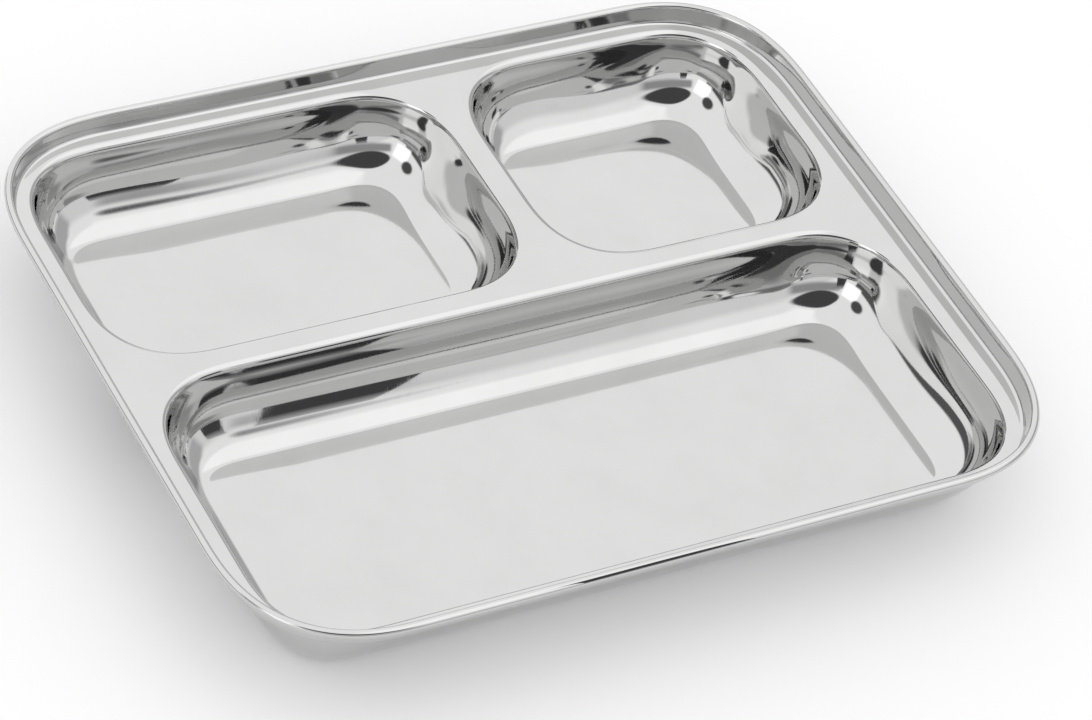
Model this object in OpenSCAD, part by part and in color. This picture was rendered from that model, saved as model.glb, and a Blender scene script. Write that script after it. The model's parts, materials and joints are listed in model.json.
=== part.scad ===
// Divided compartment plate, pressed from one steel sheet.
// Three compartments hang from a flat land, and a raised border ends in a rolled edge.
// Millimetres, +X to the right along the front, +Y to the back, +Z up.
// The origin is under the middle of the plate, on the surface that it stands on.

/* [Plate] */
// Width of the plate over its rolled edge
plate_w = 260; // [240:1:300]
// Depth of the plate over its rolled edge, front to back
plate_d = 210; // [195:1:250]
// Height of the plate, from the table to the top of the rolled edge
plate_h = 31; // [26:0.5:40]
// Radius of the plate's corners, seen from above
plate_corner_r = 39; // [36:1:50]
// Thickness of the pressed sheet
sheet_t = 0.7; // [0.5:0.05:0.9]

/* [Border] */
// Outer diameter of the rolled edge
curl_d = 2.6; // [2.2:0.1:3.2]
// Slot left open where the curl comes back to the border
curl_slot = 0.25; // [0.1:0.05:0.5]
// Height of the rolled edge's top above the land
border_rise = 6.5; // [5:0.1:8]
// Lean of the border wall away from upright, in degrees
border_lean = 8; // [4:1:20]
// Radius of the bend between the land and the border wall, on the upper side
border_foot_r = 1.2; // [0.8:0.1:2]

/* [Wells] */
// Distance from the plate's outer edge to the side of a well
side_margin = 8.4; // [8:0.2:14]
// Distance from the plate's outer edge to the front or back of a well
end_margin = 6.3; // [6:0.1:12]
// Width of the land between the two rear wells
rear_web_w = 4; // [3:0.2:12]
// Width of the land between the front well and the rear wells
cross_web_w = 3.4; // [2:0.2:12]
// Depth of the two rear wells, front to back
rear_well_d = 89.2; // [84:0.2:104]
// Width of the rear left well
rear_left_well_w = 138.8; // [120:0.2:150]
// How much tighter a well's corners are than the plate's, as a difference of radii
corner_step = 11; // [9:1:14]
// Radius of the bend from the land into a well, on the upper side
well_edge_r = 2.5; // [1.5:0.1:4]
// Radius of the bend from a well's wall to its floor, on the upper side
well_foot_r = 16; // [10:0.5:18]
// Draft of a well's wall away from upright, in degrees
well_draft = 5; // [3:1:12]
// Width of the flat strip inside a well's foot bend, half of which lies in the floor
floor_lap = 2; // [1:0.5:4]

/* [Hidden] */
$fn = 96;
bend_steps = 8;
foot_steps = 12;
curl_steps = 3 * bend_steps;

// Heights
land_top = plate_h - border_rise;
curl_r = curl_d / 2;
bore_r = curl_r - sheet_t;
curl_z = plate_h - curl_r;

// The border in section, as distances inward from the plate's outer edge.
// Its wall touches the curl where both slope alike, and the land at the foot bend.
border_slope = 90 - border_lean;
border_top_in = curl_r * (1 + sin(border_slope));
border_top_z = curl_z + curl_r * cos(border_slope);
border_foot_top_z = land_top + border_foot_r * (1 - cos(border_slope));
border_wall_l = (border_top_z - border_foot_top_z) / sin(border_slope);
border_foot_top_in = border_top_in + border_wall_l * cos(border_slope);
border_in = border_foot_top_in + border_foot_r * sin(border_slope);

// The curl leaves the border's wall at this angle round its own middle
curl_start = 90 + border_slope;
function curl_point(r) = [-curl_r + r * cos(curl_start), curl_z + r * sin(curl_start)];

// A well in section, as distances inward from the line where it leaves the land.
wall_slope = 90 - well_draft;
edge_in = well_edge_r * sin(wall_slope);
edge_drop = well_edge_r * (1 - cos(wall_slope));
foot_in = well_foot_r * sin(wall_slope);
foot_drop = well_foot_r * (1 - cos(wall_slope));
wall_drop = land_top - sheet_t - edge_drop - foot_drop;
wall_l = wall_drop / sin(wall_slope);
wall_in = wall_l * cos(wall_slope);
well_in = edge_in + wall_in + foot_in;
strip_in = well_in + floor_lap;
floor_in = well_in + floor_lap / 2;

// Wells, seen from above
well_corner_r = plate_corner_r - corner_step;
wells_w = plate_w - 2 * side_margin;
wells_d = plate_d - 2 * end_margin;
front_d = wells_d - cross_web_w - rear_well_d;
rear_right_w = wells_w - rear_web_w - rear_left_well_w;

// Each well as [width, depth, centre x, centre y]
front_box = [wells_w, front_d, 0, (front_d - wells_d) / 2];
rear_left_box = [rear_left_well_w, rear_well_d,
                 (rear_left_well_w - wells_w) / 2, (wells_d - rear_well_d) / 2];
rear_right_box = [rear_right_w, rear_well_d,
                  (wells_w - rear_right_w) / 2, (wells_d - rear_well_d) / 2];

// A rectangle with round corners, centred on the origin
module round_rectangle(w, d, r) {
    square([w - 2 * r, d], center = true);
    square([w, d - 2 * r], center = true);
    for (sx = [-1, 1], sy = [-1, 1])
        translate([sx * (w / 2 - r), sy * (d / 2 - r)])
            circle(r);
}

// Sweeps a section round a rectangle with round corners. The section's x is the
// distance outward from the path, so inward parts are negative, and its y is the height.
module sweep_round(w, d, r) {
    for (side = [0, 1]) {
        side_l = (side == 0 ? d : w) - 2 * r;
        side_reach = (side == 0 ? w : d) / 2;
        for (turn = [0, 180])
            rotate([0, 0, turn + side * 90])
                translate([side_reach - r, 0, 0])
                    rotate([90, 0, 0])
                        linear_extrude(height = side_l, center = true)
                            translate([r, 0])
                                children();
    }
    for (sx = [0, 1], sy = [0, 1])
        mirror([sx, 0, 0])
            mirror([0, sy, 0])
                translate([w / 2 - r, d / 2 - r, 0])
                    rotate_extrude(angle = 90)
                        translate([r, 0])
                            children();
}

// Points along an arc in section, as [distance outward, height], from one angle to another
function arc(x, z, r, from, to, steps) =
    [for (i = [0 : steps])
        let (angle = from + (to - from) * i / steps)
            [x + r * cos(angle), z + r * sin(angle)]];

// Section of the border: the foot bend and the leaning wall above it
module border_section() {
    foot_z = land_top + border_foot_r;
    polygon(concat(
        arc(-border_in, foot_z, border_foot_r + sheet_t, -90, -90 + border_slope, bend_steps),
        [curl_point(bore_r), curl_point(curl_r)],
        arc(-border_in, foot_z, border_foot_r, -90 + border_slope, -90, bend_steps)
    ));
}

// Section of the curl: it goes on from the border's wall and comes back under it
module curl_section() {
    slot = acos(bore_r / curl_r) + curl_slot / curl_r * 180 / PI;
    curl_end = curl_start - 360 + slot;
    polygon(concat(
        arc(-curl_r, curl_z, curl_r, curl_start, curl_end, curl_steps),
        arc(-curl_r, curl_z, bore_r, curl_end, curl_start, curl_steps)
    ));
}

// Section of a well: a strip of its floor, the foot bend, the drafted wall and the edge bend
module well_section() {
    foot_z = sheet_t + well_foot_r;
    edge_z = land_top - well_edge_r;
    polygon(concat(
        [[-strip_in, sheet_t], [-strip_in, 0]],
        arc(-well_in, foot_z, well_foot_r + sheet_t, -90, -90 + wall_slope, foot_steps),
        arc(0, edge_z, well_edge_r - sheet_t, 90 + wall_slope, 90, bend_steps),
        arc(0, edge_z, well_edge_r, 90, 90 + wall_slope, bend_steps),
        arc(-well_in, foot_z, well_foot_r, -90 + wall_slope, -90, foot_steps)
    ));
}

// One compartment, closed by its flat floor
module well(box) {
    translate([box[2], box[3], 0]) {
        sweep_round(box[0], box[1], well_corner_r)
            well_section();
        linear_extrude(height = sheet_t)
            round_rectangle(box[0] - 2 * floor_in, box[1] - 2 * floor_in, well_corner_r - floor_in);
    }
}

// The opening that a well leaves in the land, seen from above
module well_opening(box) {
    translate([box[2], box[3]])
        round_rectangle(box[0], box[1], well_corner_r);
}

module land() {
    color("silver")
        translate([0, 0, land_top - sheet_t])
            linear_extrude(height = sheet_t)
                difference() {
                    round_rectangle(plate_w - 2 * border_in, plate_d - 2 * border_in,
                                    plate_corner_r - border_in);
                    well_opening(front_box);
                    well_opening(rear_left_box);
                    well_opening(rear_right_box);
                }
}

module border() {
    color("silver")
        sweep_round(plate_w, plate_d, plate_corner_r)
            border_section();
}

module rolled_edge() {
    color("gainsboro")
        sweep_round(plate_w, plate_d, plate_corner_r)
            curl_section();
}

module front_well() {
    color("lightgray")
        well(front_box);
}

module rear_left_well() {
    color("lightgray")
        well(rear_left_box);
}

module rear_right_well() {
    color("lightgray")
        well(rear_right_box);
}

land();
border();
rolled_edge();
front_well();
rear_left_well();
rear_right_well();
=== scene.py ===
"""Divided compartment plate of mirror-polished pressed steel, on a pale studio table."""

import json
import logging
import math
from dataclasses import dataclass, field
from enum import Enum

import bmesh
import bpy
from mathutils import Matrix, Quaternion, Vector

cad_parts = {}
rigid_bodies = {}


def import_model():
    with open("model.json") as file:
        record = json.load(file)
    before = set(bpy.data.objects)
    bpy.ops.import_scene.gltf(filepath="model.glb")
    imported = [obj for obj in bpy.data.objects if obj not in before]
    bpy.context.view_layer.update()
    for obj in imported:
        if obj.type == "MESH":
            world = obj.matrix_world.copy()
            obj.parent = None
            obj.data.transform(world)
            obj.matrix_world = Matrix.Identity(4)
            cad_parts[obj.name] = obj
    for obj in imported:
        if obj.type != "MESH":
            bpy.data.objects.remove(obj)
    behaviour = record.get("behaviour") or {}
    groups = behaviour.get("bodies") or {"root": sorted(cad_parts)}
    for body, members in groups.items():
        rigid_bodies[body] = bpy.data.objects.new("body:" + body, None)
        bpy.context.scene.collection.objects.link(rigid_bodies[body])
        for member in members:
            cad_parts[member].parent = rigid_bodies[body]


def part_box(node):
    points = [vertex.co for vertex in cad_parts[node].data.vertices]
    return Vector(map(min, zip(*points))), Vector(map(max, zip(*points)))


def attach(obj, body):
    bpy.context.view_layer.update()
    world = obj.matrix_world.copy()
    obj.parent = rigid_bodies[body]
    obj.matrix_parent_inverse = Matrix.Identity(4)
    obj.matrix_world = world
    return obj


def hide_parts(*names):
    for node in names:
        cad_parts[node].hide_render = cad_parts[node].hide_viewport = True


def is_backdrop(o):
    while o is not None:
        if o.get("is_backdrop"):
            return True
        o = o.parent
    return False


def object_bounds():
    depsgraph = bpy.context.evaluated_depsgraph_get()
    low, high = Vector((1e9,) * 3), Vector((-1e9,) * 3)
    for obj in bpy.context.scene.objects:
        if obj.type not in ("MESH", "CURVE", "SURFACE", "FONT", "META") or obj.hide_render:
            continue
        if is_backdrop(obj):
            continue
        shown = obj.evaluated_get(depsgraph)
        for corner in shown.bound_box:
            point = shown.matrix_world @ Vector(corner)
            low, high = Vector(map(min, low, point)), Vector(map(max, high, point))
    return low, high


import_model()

LOG = logging.getLogger("compartment_plate")
MM = 0.001
BODY = "root"
WHITE = (1.0, 1.0, 1.0, 1.0)

# Curvature at the middle of an eased bend, over its mean
EASED_PEAK = 1.5
# Size of the small face that is merged to the first point of a line
START_SIZE = 1 * MM
# Points of the sheet that lie closer together than this are one point
MERGE_DISTANCE = 0.005 * MM
# How far from a height a point may lie and still be on it
HEIGHT_TOLERANCE = 0.01 * MM
# The least upright part of the normal of a face that counts as level
LEVEL_NORMAL = 0.5
# An edge that turns by less than this is shaded smooth
SMOOTH_ANGLE = math.radians(35)

# What goes into a node's input: a value, or another node's output
Feed = float | tuple[float, ...] | Vector | bpy.types.NodeSocket


def eased(share: float) -> float:
    """How far a change that starts and ends gently has come.

    Args:
        share: The share of its length that has passed, from 0 to 1.

    Returns:
        The share of the change, from 0 to 1.
    """
    return share * share * (3 - 2 * share)


def turn_about_z(angle: float) -> Quaternion:
    """A turn about the z axis.

    Args:
        angle: The turn in degrees, positive to the left.

    Returns:
        The turn.
    """
    return Quaternion((0, 0, 1), math.radians(angle))


def feed(
    tree: bpy.types.NodeTree, node: bpy.types.Node, inputs: dict[str | int, Feed]
) -> None:
    """Sets or links a node's inputs.

    Args:
        tree: The nodes of the material or world.
        node: The node.
        inputs: What goes into each input, by the input's name or number.
    """
    for name, value in inputs.items():
        if isinstance(value, bpy.types.NodeSocket):
            tree.links.new(value, node.inputs[name])
        else:
            node.inputs[name].default_value = value


def add_node(
    tree: bpy.types.NodeTree, kind: str, inputs: dict[str | int, Feed] | None = None
) -> bpy.types.Node:
    """Adds a node.

    Args:
        tree: The nodes of the material or world.
        kind: The node's type.
        inputs: What goes into its inputs, if they don't keep their own values.

    Returns:
        The new node.
    """
    node = tree.nodes.new(kind)
    feed(tree, node, inputs or {})
    return node


def work_out(tree: bpy.types.NodeTree, operation: str, *values: Feed) -> bpy.types.NodeSocket:
    """Adds a step of arithmetic.

    Args:
        tree: The nodes of the material or world.
        operation: The step's kind.
        *values: What it works on.

    Returns:
        The result.
    """
    node = add_node(tree, "ShaderNodeMath")
    node.operation = operation
    feed(tree, node, dict(enumerate(values)))
    return node.outputs[0]


def remap(
    tree: bpy.types.NodeTree,
    value: bpy.types.NodeSocket,
    source: tuple[float, float],
    target: tuple[float, float] = (0.0, 1.0),
    interpolation: str = "LINEAR",
) -> bpy.types.NodeSocket:
    """Maps a range of values onto another one, and holds it at its ends.

    Args:
        tree: The nodes of the material or world.
        value: The value.
        source: The range that is read.
        target: The range that comes out.
        interpolation: How the value goes from one end to the other.

    Returns:
        The mapped value.
    """
    node = add_node(tree, "ShaderNodeMapRange")
    node.interpolation_type = interpolation
    feed(
        tree,
        node,
        {
            "Value": value,
            "From Min": source[0],
            "From Max": source[1],
            "To Min": target[0],
            "To Max": target[1],
        },
    )
    return node.outputs["Result"]


def blend(
    tree: bpy.types.NodeTree, share: bpy.types.NodeSocket, first: Feed, second: Feed
) -> bpy.types.NodeSocket:
    """Blends two values.

    Args:
        tree: The nodes of the material or world.
        share: The share of the second value, from 0 to 1.
        first: The first value.
        second: The second value.

    Returns:
        The blended value.
    """
    node = add_node(tree, "ShaderNodeMix")
    node.data_type = "FLOAT"
    feed(tree, node, {"Factor": share, "A": first, "B": second})
    return node.outputs["Result"]


def reshaped(
    tree: bpy.types.NodeTree,
    place: bpy.types.NodeSocket,
    scale: tuple[float, float, float],
    turn: float = 0.0,
) -> bpy.types.NodeSocket:
    """Stretches and turns the coordinates of a pattern.

    Args:
        tree: The material's nodes.
        place: The coordinates.
        scale: How much faster each coordinate changes.
        turn: Turn about the z axis, in degrees.

    Returns:
        The new coordinates.
    """
    rotation = (0, 0, math.radians(turn))
    inputs = {"Vector": place, "Rotation": rotation, "Scale": scale}
    return add_node(tree, "ShaderNodeMapping", inputs).outputs["Vector"]


def bare_material(name: str) -> bpy.types.Material:
    """Makes a material that has no nodes yet.

    Args:
        name: The material's name.

    Returns:
        The new material.
    """
    material = bpy.data.materials.new(name)
    material.use_nodes = True
    material.node_tree.nodes.clear()
    return material


class Corner(Enum):
    """The four corners of a rounded rectangle, in the order in which a sweep turns them."""

    REAR_RIGHT = 0
    REAR_LEFT = 1
    FRONT_LEFT = 2
    FRONT_RIGHT = 3


@dataclass
class Section:
    """A line through the upper face of the sheet, as a chain of flats and bends.

    Its x is the distance outward from the path that it is swept along, and its z is the height.
    """

    x: float
    z: float
    heading: float = 0.0
    points: list[tuple[float, float]] = field(default_factory=list)

    def __post_init__(self) -> None:
        """Keeps the starting point as the first of the chain."""
        self.points.append((self.x, self.z))

    def flat(self, length: float) -> "Section":
        """Goes straight on.

        Args:
            length: How far, in metres.

        Returns:
            The section itself, so that calls can be chained.
        """
        self.x += length * math.cos(math.radians(self.heading))
        self.z += length * math.sin(math.radians(self.heading))
        self.points.append((self.x, self.z))
        return self

    def bend(self, radius: float, turn: float, steps: int) -> "Section":
        """Follows an arc.

        Args:
            radius: Radius of the arc on the upper face, in metres.
            turn: Angle of the bend in degrees, positive upward.
            steps: Number of straight steps.

        Returns:
            The section itself, so that calls can be chained.
        """
        side = math.copysign(90.0, turn)
        centre_x = self.x + radius * math.cos(math.radians(self.heading + side))
        centre_z = self.z + radius * math.sin(math.radians(self.heading + side))
        for step in range(1, steps + 1):
            angle = math.radians(self.heading - side + turn * step / steps)
            self.points.append(
                (centre_x + radius * math.cos(angle), centre_z + radius * math.sin(angle))
            )
        self.x, self.z = self.points[-1]
        self.heading += turn
        return self

    def ease(self, length: float, turn: float, steps: int) -> "Section":
        """Follows a bend whose curvature grows from nothing and fades again, as in pressed sheet.

        Args:
            length: Length of the bend along the upper face, in metres.
            turn: Angle of the bend in degrees, positive upward.
            steps: Number of straight steps.

        Returns:
            The section itself, so that calls can be chained.
        """
        first = self.heading
        for step in range(steps):
            middle = (step + 0.5) / steps
            self.heading = first + turn * eased(middle)
            self.flat(length / steps)
        self.heading = first + turn
        return self

    def span(self) -> tuple[float, float]:
        """Measures the section from its first point to its last.

        Returns:
            How far it reaches outward, and how far up.
        """
        (first_x, first_z), (last_x, last_z) = self.points[0], self.points[-1]
        return last_x - first_x, last_z - first_z


@dataclass(frozen=True)
class RoundedPath:
    """A rectangle with round corners, seen from above, that a section is swept along.

    Its corners tighten smoothly to their middle, as those of a pressed sheet do, and its
    radius is the one there.
    """

    width: float
    depth: float
    radius: float
    centre: tuple[float, float] = (0.0, 0.0)
    corner_steps: int = 40
    side_steps: int = 1

    def arcs(self) -> list[tuple[float, float]]:
        """The short arcs that make up a corner.

        Returns:
            Each arc's radius in metres and its angle in degrees.
        """
        step_length = self.radius * EASED_PEAK * math.pi / 2 / self.corner_steps
        arcs = []
        for step in range(self.corner_steps):
            first, last = step / self.corner_steps, (step + 1) / self.corner_steps
            angle = 90 * (eased(last) - eased(first))
            arcs.append((step_length / math.radians(angle), angle))
        return arcs

    @property
    def reach(self) -> float:
        """The length of a side that a corner takes up, in metres."""
        heading = 0.0
        reach = 0.0
        for radius, angle in self.arcs():
            reach += radius * math.sin(math.radians(heading + angle))
            reach -= radius * math.sin(math.radians(heading))
            heading += angle
        return reach

    def start(self, point: tuple[float, float]) -> Vector:
        """Where a point of the section lies at the sweep's start, the front of the right side.

        Args:
            point: The point's distance outward and its height.

        Returns:
            Its place in the plate's frame.
        """
        outward, height = point
        x = self.centre[0] + self.width / 2 + outward
        return Vector((x, self.centre[1] - self.depth / 2 + self.reach, height))

    def side(self, corner: Corner) -> Vector:
        """The straight run that leads to a corner.

        Args:
            corner: The corner at its end.

        Returns:
            The run as a vector.
        """
        along_depth = corner in (Corner.REAR_RIGHT, Corner.FRONT_LEFT)
        length = (self.depth if along_depth else self.width) - 2 * self.reach
        return turn_about_z(90 * corner.value) @ Vector((0, length, 0))

    def pivots(self, corner: Corner) -> list[tuple[Vector, float]]:
        """The middles of a corner's arcs.

        Args:
            corner: The corner.

        Returns:
            Each arc's middle on the ground plane, and its angle in degrees.
        """
        right = corner in (Corner.REAR_RIGHT, Corner.FRONT_RIGHT)
        rear = corner in (Corner.REAR_RIGHT, Corner.REAR_LEFT)
        turn = turn_about_z(90 * corner.value)
        tip_x = self.centre[0] + (1 if right else -1) * self.width / 2
        tip_y = self.centre[1] + (1 if rear else -1) * self.depth / 2
        place = Vector((tip_x, tip_y, 0.0)) - turn @ Vector((0, self.reach, 0))
        inward = turn @ Vector((-1, 0, 0))
        pivots = []
        for radius, angle in self.arcs():
            pivot = place + inward * radius
            pivots.append((pivot, angle))
            inward.rotate(turn_about_z(angle))
            place = pivot - inward * radius
        return pivots


@dataclass(frozen=True)
class SheetSteps:
    """How many straight steps each curve of the sheet is drawn in."""

    well_side: int = 16
    well_foot: int = 16
    well_wall: int = 24
    wall_top: int = 8
    well_edge: int = 16
    floor: int = 16
    border_foot: int = 14
    curl: int = 40


@dataclass(frozen=True)
class SheetSizes:
    """The sizes of the pressed sheet that its pieces share, in metres and degrees."""

    thickness: float = 0.7 * MM
    corner_radius: float = 34 * MM
    land_drop: float = 6.5 * MM
    curl_radius: float = 1.3 * MM
    curl_slot: float = 0.25 * MM
    border_lean: float = 8.0
    border_foot: float = 1.2 * MM
    well_corner: float = 24 * MM
    well_edge: float = 4.4 * MM
    well_foot: float = 8.5 * MM
    foot_slope: float = 40.0
    well_wall: float = 24.5 * MM
    wall_slope: float = 85.5
    edge_slope: float = 81.5
    floor_crown: float = 0.4 * MM
    crown_power: int = 4
    side_bow: float = 0.35 * MM
    seam: float = 0.2 * MM
    steps: SheetSteps = SheetSteps()

    @property
    def border_slope(self) -> float:
        """Slope of the border's wall above level, in degrees."""
        return 90 - self.border_lean


@dataclass(frozen=True)
class Noise:
    """A noise pattern: its patches per metre, its finer octaves and the weight of these."""

    scale: float
    detail: float
    roughness: float

    def build(
        self, tree: bpy.types.NodeTree, place: bpy.types.NodeSocket
    ) -> bpy.types.NodeSocket:
        """Adds the pattern.

        Args:
            tree: The material's nodes.
            place: The coordinates that it reads.

        Returns:
            The pattern's value.
        """
        inputs = {
            "Vector": place,
            "Scale": self.scale,
            "Detail": self.detail,
            "Roughness": self.roughness,
        }
        return add_node(tree, "ShaderNodeTexNoise", inputs).outputs["Fac"]


@dataclass(frozen=True)
class Hairlines:
    """One family of hairline scratches: its direction in degrees and its length over width."""

    turn: float
    stretch: float


@dataclass(frozen=True)
class PolishedSteel:
    """Mirror-polished steel sheet with slight press waves, smears and hairline scratches."""

    name: str = "polished_steel_sheet"
    colour: tuple[float, float, float] = (0.59, 0.59, 0.587)
    smear_colour: tuple[float, float, float] = (0.56, 0.56, 0.556)
    clean_roughness: float = 0.035
    smeared_roughness: float = 0.075
    smears: Noise = Noise(38.0, 4.0, 0.62)
    roughness_range: tuple[float, float] = (0.35, 0.75)
    colour_range: tuple[float, float] = (0.4, 0.8)
    waves: Noise = Noise(1 / (45 * MM), 1.0, 0.35)
    wave_height: float = 0.05 * MM
    ripples: Noise = Noise(1.0, 2.0, 0.5)
    ripple_scale: tuple[float, float, float] = (7.0, 7.0, 160.0)
    ripple_height: float = 0.03 * MM
    scratches: Noise = Noise(90.0, 3.0, 0.7)
    scratch_range: tuple[float, float] = (0.62, 0.7)
    scratch_height: float = 0.0006 * MM
    hairlines: tuple[Hairlines, ...] = (
        Hairlines(24.0, 35.0),
        Hairlines(-51.0, 28.0),
        Hairlines(83.0, 42.0),
    )

    def build(self) -> bpy.types.Material:
        """Makes the material.

        Returns:
            The new material.
        """
        material = bare_material(self.name)
        tree = material.node_tree
        place = add_node(tree, "ShaderNodeTexCoord").outputs["Object"]
        smears = self.smears.build(tree, place)
        roughness = (self.clean_roughness, self.smeared_roughness)
        inputs = {
            "Metallic": 1.0,
            "Roughness": remap(tree, smears, self.roughness_range, roughness),
            "Base Color": self._shade(tree, smears),
            "Normal": self._relief(tree, place),
        }
        shader = add_node(tree, "ShaderNodeBsdfPrincipled", inputs)
        add_node(tree, "ShaderNodeOutputMaterial", {"Surface": shader.outputs["BSDF"]})
        return material

    def _shade(
        self, tree: bpy.types.NodeTree, smears: bpy.types.NodeSocket
    ) -> bpy.types.NodeSocket:
        """Darkens the steel a little where it is smeared.

        Args:
            tree: The material's nodes.
            smears: The pattern of smears.

        Returns:
            The steel's colour.
        """
        node = add_node(tree, "ShaderNodeValToRGB", {"Fac": smears})
        colours = (self.colour, self.smear_colour)
        for element, position, colour in zip(node.color_ramp.elements, self.colour_range, colours):
            element.position = position
            element.color = (*colour, 1)
        return node.outputs["Color"]

    def _relief(
        self, tree: bpy.types.NodeTree, place: bpy.types.NodeSocket
    ) -> bpy.types.NodeSocket:
        """Lays waves, ripples that change fast with height, and scratches over each other.

        Args:
            tree: The material's nodes.
            place: The coordinates that the patterns read.

        Returns:
            The normal of the relief.
        """
        normal = self._bump(tree, self.waves.build(tree, place), self.wave_height)
        ripples = self.ripples.build(tree, reshaped(tree, place, self.ripple_scale))
        normal = self._bump(tree, ripples, self.ripple_height, normal)
        for hairs in self.hairlines:
            along = reshaped(tree, place, (hairs.stretch, 1, 1), hairs.turn)
            marks = remap(tree, self.scratches.build(tree, along), self.scratch_range)
            normal = self._bump(tree, marks, self.scratch_height, normal)
        return normal

    def _bump(
        self,
        tree: bpy.types.NodeTree,
        pattern: bpy.types.NodeSocket,
        height: float,
        normal: bpy.types.NodeSocket | None = None,
    ) -> bpy.types.NodeSocket:
        """Adds relief.

        Args:
            tree: The material's nodes.
            pattern: The relief's pattern, from 0 to 1.
            height: The relief's full height in metres.
            normal: The normal that it adds to, if any.

        Returns:
            The new normal.
        """
        node = add_node(tree, "ShaderNodeBump", {"Height": pattern, "Distance": height})
        if normal is not None:
            feed(tree, node, {"Normal": normal})
        return node.outputs["Normal"]


@dataclass
class PressedPiece:
    """One piece of the pressed sheet, shaped as by hand and dressed in steel."""

    name: str
    node: str
    sizes: SheetSizes
    steel: bpy.types.Material
    piece: bpy.types.Object | None = None

    def pin(self, place: Vector) -> None:
        """Starts the piece, or a new part of it, as a single point in edit mode.

        Args:
            place: Where the point is.
        """
        if self.piece is None:
            bpy.ops.object.select_all(action="DESELECT")
            bpy.ops.mesh.primitive_plane_add(
                size=START_SIZE, enter_editmode=True, location=(0, 0, 0)
            )
            self.piece = bpy.context.object
            self.piece.name = self.name
            self.piece.data.name = self.name
            bpy.ops.mesh.select_mode(type="VERT")
        else:
            bpy.ops.mesh.select_all(action="DESELECT")
            bpy.ops.mesh.primitive_plane_add(size=START_SIZE, location=(0, 0, 0))
        bpy.ops.mesh.merge(type="CENTER")
        bpy.ops.transform.translate(value=place)

    def draw(self, path: RoundedPath, section: Section) -> None:
        """Draws a section at the start of a path, point by point.

        Args:
            path: The path that the section will follow.
            section: The section.
        """
        places = [path.start(point) for point in section.points]
        self.pin(places[0])
        for here, there in zip(places, places[1:]):
            bpy.ops.mesh.extrude_region_move(TRANSFORM_OT_translate={"value": there - here})
        bpy.ops.mesh.select_linked()

    def sweep(self, path: RoundedPath) -> None:
        """Sweeps what is selected once round a path and joins its ends.

        Args:
            path: The path to follow.
        """
        for corner in Corner:
            stride = path.side(corner) / path.side_steps
            for _ in range(path.side_steps):
                bpy.ops.mesh.extrude_region_move(TRANSFORM_OT_translate={"value": stride})
            for pivot, angle in path.pivots(corner):
                bpy.ops.mesh.spin(
                    steps=1, angle=math.radians(-angle), center=pivot, axis=(0, 0, 1)
                )
        bpy.ops.mesh.select_all(action="SELECT")
        bpy.ops.mesh.remove_doubles(threshold=MERGE_DISTANCE)

    def complete(self) -> None:
        """Makes the open face a sheet of steel that stands for its node, and logs it."""
        self.turn_outward()
        self.thicken()
        self.dress()
        LOG.info("%s: %d faces", self.name, len(self.piece.data.polygons))

    def turn_outward(self) -> None:
        """Turns every face so that the highest of the level ones looks up."""
        bpy.ops.mesh.select_all(action="SELECT")
        bpy.ops.mesh.normals_make_consistent(inside=False)
        shape = bmesh.from_edit_mesh(self.piece.data)
        levels = [face for face in shape.faces if abs(face.normal.z) > LEVEL_NORMAL]
        top = max(levels, key=lambda face: face.calc_center_median().z)
        if top.normal.z < 0:
            bpy.ops.mesh.flip_normals()

    def thicken(self) -> None:
        """Leaves edit mode and gives the sheet its thickness under the upper face."""
        bpy.ops.object.mode_set(mode="OBJECT")
        wall = self.piece.modifiers.new("sheet_thickness", "SOLIDIFY")
        wall.thickness = self.sizes.thickness
        wall.offset = -1.0
        wall.use_even_offset = True
        bpy.ops.object.modifier_apply(modifier=wall.name)
        bpy.ops.object.shade_smooth_by_angle(angle=SMOOTH_ANGLE)

    def dress(self) -> None:
        """Gives the piece its steel and lets it stand for its node."""
        self.piece.data.materials.clear()
        self.piece.data.materials.append(self.steel)
        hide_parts(self.node)
        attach(self.piece, BODY)


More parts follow.
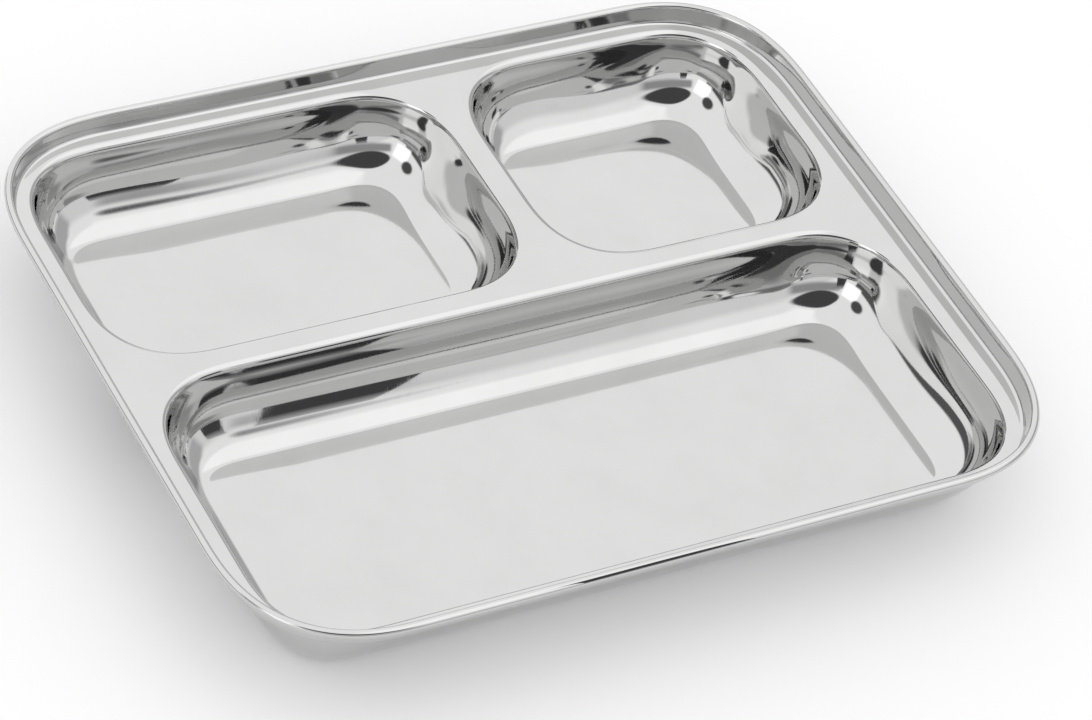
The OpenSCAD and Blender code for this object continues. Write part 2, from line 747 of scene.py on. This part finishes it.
@dataclass
class Well(PressedPiece):
    """One compartment: a slightly crowned floor, a foot that opens into the wall, and an edge."""

    @property
    def path(self) -> RoundedPath:
        """The line where the well leaves the land."""
        low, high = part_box(self.node)
        return RoundedPath(
            high.x - low.x,
            high.y - low.y,
            self.sizes.well_corner,
            ((low.x + high.x) / 2, (low.y + high.y) / 2),
            side_steps=self.sizes.steps.well_side,
        )

    @property
    def edge(self) -> tuple[float, float, int]:
        """Length, turn and steps of the bend from the wall to the land."""
        return self.sizes.well_edge, -self.sizes.edge_slope, self.sizes.steps.well_edge

    def foot(self, line: Section) -> Section:
        """Draws the foot bend and the round wall above it on from a section's start.

        Args:
            line: The section so far, at the edge of the well's floor.

        Returns:
            The section, up to the steepest place of the wall.
        """
        sizes = self.sizes
        line.bend(sizes.well_foot, sizes.foot_slope - line.heading, sizes.steps.well_foot)
        return line.bend(
            sizes.well_wall, sizes.wall_slope - sizes.foot_slope, sizes.steps.well_wall
        )

    def section(self) -> Section:
        """Draws the well's section, from its floor out to the land.

        Its foot is tight at the floor and opens into the wall, and the top of the wall leans
        out again over the height that the bends leave.

        Returns:
            The section.
        """
        sizes = self.sizes
        low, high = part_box(self.node)
        lower_in, lower_rise = self.foot(Section(0, 0)).span()
        edge_in, edge_rise = Section(0, 0, sizes.edge_slope).ease(*self.edge).span()
        lower, upper = math.radians(sizes.edge_slope), math.radians(sizes.wall_slope)
        top_rise = high.z - low.z - sizes.thickness - lower_rise - edge_rise
        top_radius = top_rise / (math.cos(lower) - math.cos(upper))
        reach = lower_in + top_radius * (math.sin(upper) - math.sin(lower)) + edge_in
        tilt = sizes.crown_power * sizes.floor_crown / ((high.y - low.y) / 2 - reach)
        height = low.z + sizes.thickness + sizes.well_foot * (1 - math.cos(tilt))
        inner = -reach - sizes.well_foot * math.sin(tilt)
        line = self.foot(Section(inner, height, -math.degrees(tilt)))
        line.bend(top_radius, sizes.edge_slope - sizes.wall_slope, sizes.steps.wall_top)
        return line.ease(*self.edge).flat(sizes.seam)

    def build(self) -> None:
        """Shapes, closes and dresses the well."""
        section = self.section()
        floor, top = section.points[0][1], section.points[-1][1]
        self.draw(self.path, section)
        self.sweep(self.path)
        self.bow_sides(floor, top)
        self.close_floor(floor)
        self.complete()

    def bow_sides(self, floor: float, top: float) -> None:
        """Bows the straight walls inward a little, as they relax after pressing.

        Args:
            floor: Height of the floor's upper face.
            top: Height of the land's upper face.
        """
        path = self.path
        half_x = path.width / 2 - path.reach
        half_y = path.depth / 2 - path.reach
        shape = bmesh.from_edit_mesh(self.piece.data)
        for vertex in shape.verts:
            x = (vertex.co.x - path.centre[0]) / half_x
            y = (vertex.co.y - path.centre[1]) / half_y
            rise = math.sin(math.pi * (vertex.co.z - floor) / (top - floor)) ** 2
            if abs(x) < 1:
                vertex.co.y -= math.copysign(self.sizes.side_bow * rise * (1 - x * x) ** 2, y)
            if abs(y) < 1:
                vertex.co.x -= math.copysign(self.sizes.side_bow * rise * (1 - y * y) ** 2, x)
        bmesh.update_edit_mesh(self.piece.data)

    def close_floor(self, height: float) -> None:
        """Closes the open loop at a height with a floor that rises a little to its middle.

        Args:
            height: The loop's height.
        """
        bpy.ops.mesh.select_all(action="DESELECT")
        bpy.ops.mesh.select_non_manifold(extend=False, use_boundary=True)
        shape = bmesh.from_edit_mesh(self.piece.data)
        for vertex in shape.verts:
            if abs(vertex.co.z - height) > HEIGHT_TOLERANCE:
                vertex.select_set(False)
        shape.select_flush(False)
        bmesh.update_edit_mesh(self.piece.data)
        rings = self.sizes.steps.floor
        risen = 0.0
        for ring in range(1, rings):
            share = 1 - ring / rings
            rise = self.sizes.floor_crown * (1 - share**self.sizes.crown_power)
            stride = (0, 0, rise - risen)
            bpy.ops.mesh.extrude_region_move(TRANSFORM_OT_translate={"value": stride})
            shrink = share / (share + 1 / rings)
            bpy.ops.transform.resize(value=(shrink, shrink, 1))
            risen = rise
        bpy.ops.mesh.edge_face_add()


@dataclass
class Land(PressedPiece):
    """The flat sheet between the wells and the border."""

    def build(self, outlines: list[tuple[RoundedPath, float]]) -> None:
        """Draws the outlines, fills the sheet between them and dresses it.

        Args:
            outlines: Each outline's path, and how far outward from it the outline runs.
        """
        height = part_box(self.node)[1].z
        for path, outward in outlines:
            self.draw(path, Section(outward, height))
            self.sweep(path)
        bpy.ops.mesh.fill(use_beauty=True)
        self.complete()


@dataclass
class Border(PressedPiece):
    """The raised border: a foot bend and a leaning wall."""

    def section(self, plate_top: float) -> Section:
        """Draws the border's section, from the land up to the rolled edge.

        Args:
            plate_top: Height of the plate.

        Returns:
            The section.
        """
        sizes = self.sizes
        slope = math.radians(sizes.border_slope)
        land = plate_top - sizes.land_drop
        top_in = sizes.curl_radius * (1 + math.sin(slope))
        top_z = plate_top - sizes.curl_radius * (1 - math.cos(slope))
        foot_z = land + sizes.border_foot * (1 - math.cos(slope))
        wall = (top_z - foot_z) / math.sin(slope)
        inset = top_in + wall * math.cos(slope) + sizes.border_foot * math.sin(slope)
        line = Section(-inset - sizes.seam, land).flat(sizes.seam)
        line.bend(sizes.border_foot, sizes.border_slope, sizes.steps.border_foot)
        return line.flat(wall - sizes.seam)

    def build(self, path: RoundedPath, plate_top: float) -> None:
        """Shapes and dresses the border.

        Args:
            path: The plate's outer edge.
            plate_top: Height of the plate.
        """
        self.draw(path, self.section(plate_top))
        self.sweep(path)
        self.complete()


@dataclass
class RolledEdge(PressedPiece):
    """The edge that is rolled outward and back under the border."""

    def section(self, start: tuple[float, float]) -> Section:
        """Draws the curl's section, on from the border's wall.

        Args:
            start: Where the border's wall ends.

        Returns:
            The section.
        """
        sizes = self.sizes
        bore = sizes.curl_radius - sizes.thickness
        slot = math.acos(bore / sizes.curl_radius) + sizes.curl_slot / sizes.curl_radius
        line = Section(*start, sizes.border_slope).flat(sizes.seam)
        return line.bend(sizes.curl_radius, math.degrees(slot) - 360, sizes.steps.curl)

    def build(self, path: RoundedPath, start: tuple[float, float]) -> None:
        """Shapes and dresses the rolled edge.

        Args:
            path: The plate's outer edge.
            start: Where the border's wall ends.
        """
        self.draw(path, self.section(start))
        self.sweep(path)
        self.complete()


@dataclass
class CompartmentPlate:
    """The whole plate, put together from its pressed pieces."""

    sizes: SheetSizes = SheetSizes()
    finish: PolishedSteel = PolishedSteel()
    wells: tuple[str, ...] = ("front_well", "rear_left_well", "rear_right_well")

    def build(self) -> None:
        """Builds every piece in the order of the sheet, from its wells to its edge."""
        steel = self.finish.build()
        low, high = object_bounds()
        rim = RoundedPath(high.x - low.x, high.y - low.y, self.sizes.corner_radius)
        border = Border("border_sheet", "border", self.sizes, steel)
        line = border.section(high.z)
        outlines = [(rim, line.points[0][0])]
        for node in self.wells:
            well = Well(f"{node}_sheet", node, self.sizes, steel)
            outlines.append((well.path, self.sizes.seam))
            well.build()
        land = Land("land_sheet", "land", self.sizes, steel)
        land.build(outlines)
        border.build(rim, high.z)
        rolled_edge = RolledEdge("rolled_edge_sheet", "rolled_edge", self.sizes, steel)
        rolled_edge.build(rim, line.points[-1])


@dataclass(frozen=True)
class LightCard:
    """A white, grey or black card of the studio, rectangular or round, far from the plate.

    Only the polished sheet sees it. Its place is a compass direction, counted from the
    plate's right side towards its back, and a height above the horizon. All angles are in
    degrees, and the softness is the width of the blurred rim.
    """

    azimuth: float
    elevation: float
    width: float
    height: float
    level: float
    softness: float = 3.0
    is_round: bool = False

    def axes(self) -> tuple[Vector, Vector, Vector]:
        """Works out how the card faces the plate.

        Returns:
            The directions of the card's middle, its left and its top.
        """
        azimuth = math.radians(self.azimuth)
        elevation = math.radians(self.elevation)
        x = math.cos(elevation) * math.cos(azimuth)
        y = math.cos(elevation) * math.sin(azimuth)
        middle = Vector((x, y, math.sin(elevation)))
        left = Vector((-math.sin(azimuth), math.cos(azimuth), 0.0))
        return middle, left, middle.cross(left)

    def cover(
        self, tree: bpy.types.NodeTree, direction: bpy.types.NodeSocket, level: Feed
    ) -> bpy.types.NodeSocket:
        """Lays the card over the light levels behind it.

        Args:
            tree: The world's nodes.
            direction: The direction that is looked in.
            level: The light level behind the card.

        Returns:
            The light level with the card in place.
        """
        middle, left, top = self.axes()
        ahead = self._along(tree, direction, middle)
        across = work_out(tree, "ARCTAN2", self._along(tree, direction, left), ahead)
        up = work_out(tree, "ARCTAN2", self._along(tree, direction, top), ahead)
        if self.is_round:
            squeezed = work_out(tree, "MULTIPLY", across, self.height / self.width)
            squared = work_out(tree, "MULTIPLY", squeezed, squeezed)
            summed = work_out(tree, "MULTIPLY_ADD", up, up, squared)
            mask = self._band(tree, work_out(tree, "SQRT", summed), self.height)
        else:
            bands = self._band(tree, across, self.width), self._band(tree, up, self.height)
            mask = work_out(tree, "MULTIPLY", *bands)
        return blend(tree, mask, level, self.level)

    def _along(
        self, tree: bpy.types.NodeTree, direction: bpy.types.NodeSocket, axis: Vector
    ) -> bpy.types.NodeSocket:
        """The share of a direction that lies along an axis.

        Args:
            tree: The world's nodes.
            direction: The direction.
            axis: The axis.

        Returns:
            The share, from -1 to 1.
        """
        node = add_node(tree, "ShaderNodeVectorMath")
        node.operation = "DOT_PRODUCT"
        feed(tree, node, {0: direction, 1: axis})
        return node.outputs["Value"]

    def _band(
        self, tree: bpy.types.NodeTree, angle: bpy.types.NodeSocket, width: float
    ) -> bpy.types.NodeSocket:
        """Marks the directions within the card's width or height.

        Args:
            tree: The world's nodes.
            angle: The direction's angle from the card's middle.
            width: The card's full width or height.

        Returns:
            1 on the card and 0 beside it.
        """
        outside = math.radians((width + self.softness) / 2)
        inside = math.radians((width - self.softness) / 2)
        distance = work_out(tree, "ABSOLUTE", angle)
        return remap(tree, distance, (outside, inside), interpolation="SMOOTHSTEP")


@dataclass(frozen=True)
class Screen:
    """A dark card close before the plate's front, which only the polished sheet sees.

    Its corners are the x and z of its bottom left, bottom right, top left and top right,
    and it grows lighter over the fade's length under its top.
    """

    name: str
    y: float
    corners: tuple[tuple[float, float], ...]
    level: float
    top_level: float
    fade: float

    def build(self) -> None:
        """Puts up the card."""
        bpy.ops.object.select_all(action="DESELECT")
        bpy.ops.mesh.primitive_plane_add(location=(0, 0, 0))
        card = bpy.context.object
        card.name = self.name
        for vertex, (x, z) in zip(card.data.vertices, self.corners):
            vertex.co = (x, self.y, z)
        card.data.materials.append(self._graded())
        card.visible_camera = False
        card.visible_diffuse = False
        card.visible_shadow = False
        card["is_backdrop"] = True

    def _graded(self) -> bpy.types.Material:
        """Makes the card's light levels, from its bottom to its top.

        Returns:
            The new material.
        """
        material = bare_material(self.name)
        tree = material.node_tree
        place = add_node(tree, "ShaderNodeTexCoord").outputs["Object"]
        height = add_node(tree, "ShaderNodeSeparateXYZ", {0: place}).outputs["Z"]
        top = max(z for _, z in self.corners)
        level = remap(tree, height, (top - self.fade, top), (self.level, self.top_level))
        glow = add_node(tree, "ShaderNodeEmission", {"Strength": level})
        add_node(tree, "ShaderNodeOutputMaterial", {"Surface": glow.outputs["Emission"]})
        return material


@dataclass(frozen=True)
class Studio:
    """The pale table, the light around it and the camera.

    The cards lie over each other in their order. Together they stand for the room that the
    polished sheet mirrors.
    """

    cards: tuple[LightCard, ...] = (
        # The front and the right: a wide pale card, a bright one high above it and a grey one
        LightCard(azimuth=-55, elevation=8, width=150, height=44, level=0.98, softness=10),
        LightCard(azimuth=-20, elevation=62, width=56, height=26, level=1.48, softness=8),
        LightCard(azimuth=12, elevation=22, width=84, height=26, level=0.6, softness=10),
        # The front: a dark band low over the table, and a grey and a dark round card above it
        LightCard(azimuth=-75, elevation=4, width=116, height=7, level=0.12),
        LightCard(azimuth=-101, elevation=25, width=66, height=13, level=0.4, softness=7),
        LightCard(
            azimuth=-101, elevation=42, width=64, height=24, level=0.08, softness=2, is_round=True
        ),
        # The back: a dark band low over the table
        LightCard(azimuth=150, elevation=11, width=100, height=11, level=0.13),
        # The left: a bright card with a small dark one above it
        LightCard(azimuth=-158, elevation=21, width=26, height=20, level=1.9, softness=5),
        LightCard(azimuth=180, elevation=31, width=20, height=14, level=0.1, is_round=True),
    )
    screen: Screen = Screen(
        name="dark_card",
        y=-0.115,
        corners=((-0.031, 0.033), (0.024, 0.033), (-0.027, 0.08), (0.014, 0.08)),
        level=0.07,
        top_level=0.6,
        fade=0.02,
    )
    plain_level: float = 1.0
    sky_level: float = 1.24
    table_size: float = 6.0
    table_colour: tuple[float, float, float] = (0.96, 0.96, 0.96)
    table_glow: float = 0.06
    lens: float = 154.15
    camera_place: tuple[float, float, float] = (-0.5941, -0.7790, 0.9358)
    camera_aim: tuple[float, float, float] = (0.44637, 0.57237, -0.68786)
    camera_roll: float = 14.78
    camera_range: tuple[float, float] = (0.05, 50.0)

    def build(self) -> None:
        """Sets up the table, the cards, the light and the camera."""
        self.lay_table()
        self.screen.build()
        self.light()
        self.place_camera()
        bpy.context.scene.view_settings.view_transform = "Standard"

    def lay_table(self) -> None:
        """Lays a wide pale table under the plate."""
        bpy.ops.object.select_all(action="DESELECT")
        bpy.ops.mesh.primitive_plane_add(size=self.table_size, location=(0, 0, 0))
        table = bpy.context.object
        table.name = "table"
        table.data.materials.append(self._table_top())
        table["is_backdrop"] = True

    def _table_top(self) -> bpy.types.Material:
        """Makes the table's matt surface, a little brighter to the camera and in reflections.

        Returns:
            The new material.
        """
        material = bare_material("pale_table")
        tree = material.node_tree
        rays = add_node(tree, "ShaderNodeLightPath").outputs
        seen = work_out(tree, "MAXIMUM", rays["Is Camera Ray"], rays["Is Glossy Ray"])
        level = work_out(tree, "MULTIPLY", seen, self.table_glow)
        matt = add_node(tree, "ShaderNodeBsdfDiffuse", {"Color": (*self.table_colour, 1)})
        glow = add_node(tree, "ShaderNodeEmission", {"Color": WHITE, "Strength": level})
        shaders = {0: matt.outputs["BSDF"], 1: glow.outputs["Emission"]}
        both = add_node(tree, "ShaderNodeAddShader", shaders)
        add_node(tree, "ShaderNodeOutputMaterial", {"Surface": both.outputs["Shader"]})
        return material

    def light(self) -> None:
        """Lights the plate from a plain white surround, in which polished steel sees cards."""
        world = bpy.data.worlds.new("studio")
        bpy.context.scene.world = world
        world.use_nodes = True
        tree = world.node_tree
        direction = add_node(tree, "ShaderNodeTexCoord").outputs["Generated"]
        level: Feed = self.sky_level
        for card in self.cards:
            level = card.cover(tree, direction, level)
        mirrored = add_node(tree, "ShaderNodeLightPath").outputs["Is Glossy Ray"]
        strength = blend(tree, mirrored, self.plain_level, level)
        feed(tree, tree.nodes["Background"], {"Color": WHITE, "Strength": strength})

    def place_camera(self) -> None:
        """Puts the camera where the photograph was taken."""
        bpy.ops.object.camera_add(location=self.camera_place)
        camera = bpy.context.object
        camera.name = "camera"
        camera.data.lens = self.lens
        camera.data.clip_start, camera.data.clip_end = self.camera_range
        aim = Vector(self.camera_aim).to_track_quat("-Z", "Y")
        camera.rotation_mode = "QUATERNION"
        camera.rotation_quaternion = aim @ turn_about_z(self.camera_roll)
        bpy.context.scene.camera = camera


def main() -> None:
    """Builds the plate and its studio."""
    logging.basicConfig(level=logging.INFO, format="%(name)s: %(message)s")
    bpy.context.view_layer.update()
    CompartmentPlate().build()
    Studio().build()


if __name__ == "__main__":
    main()
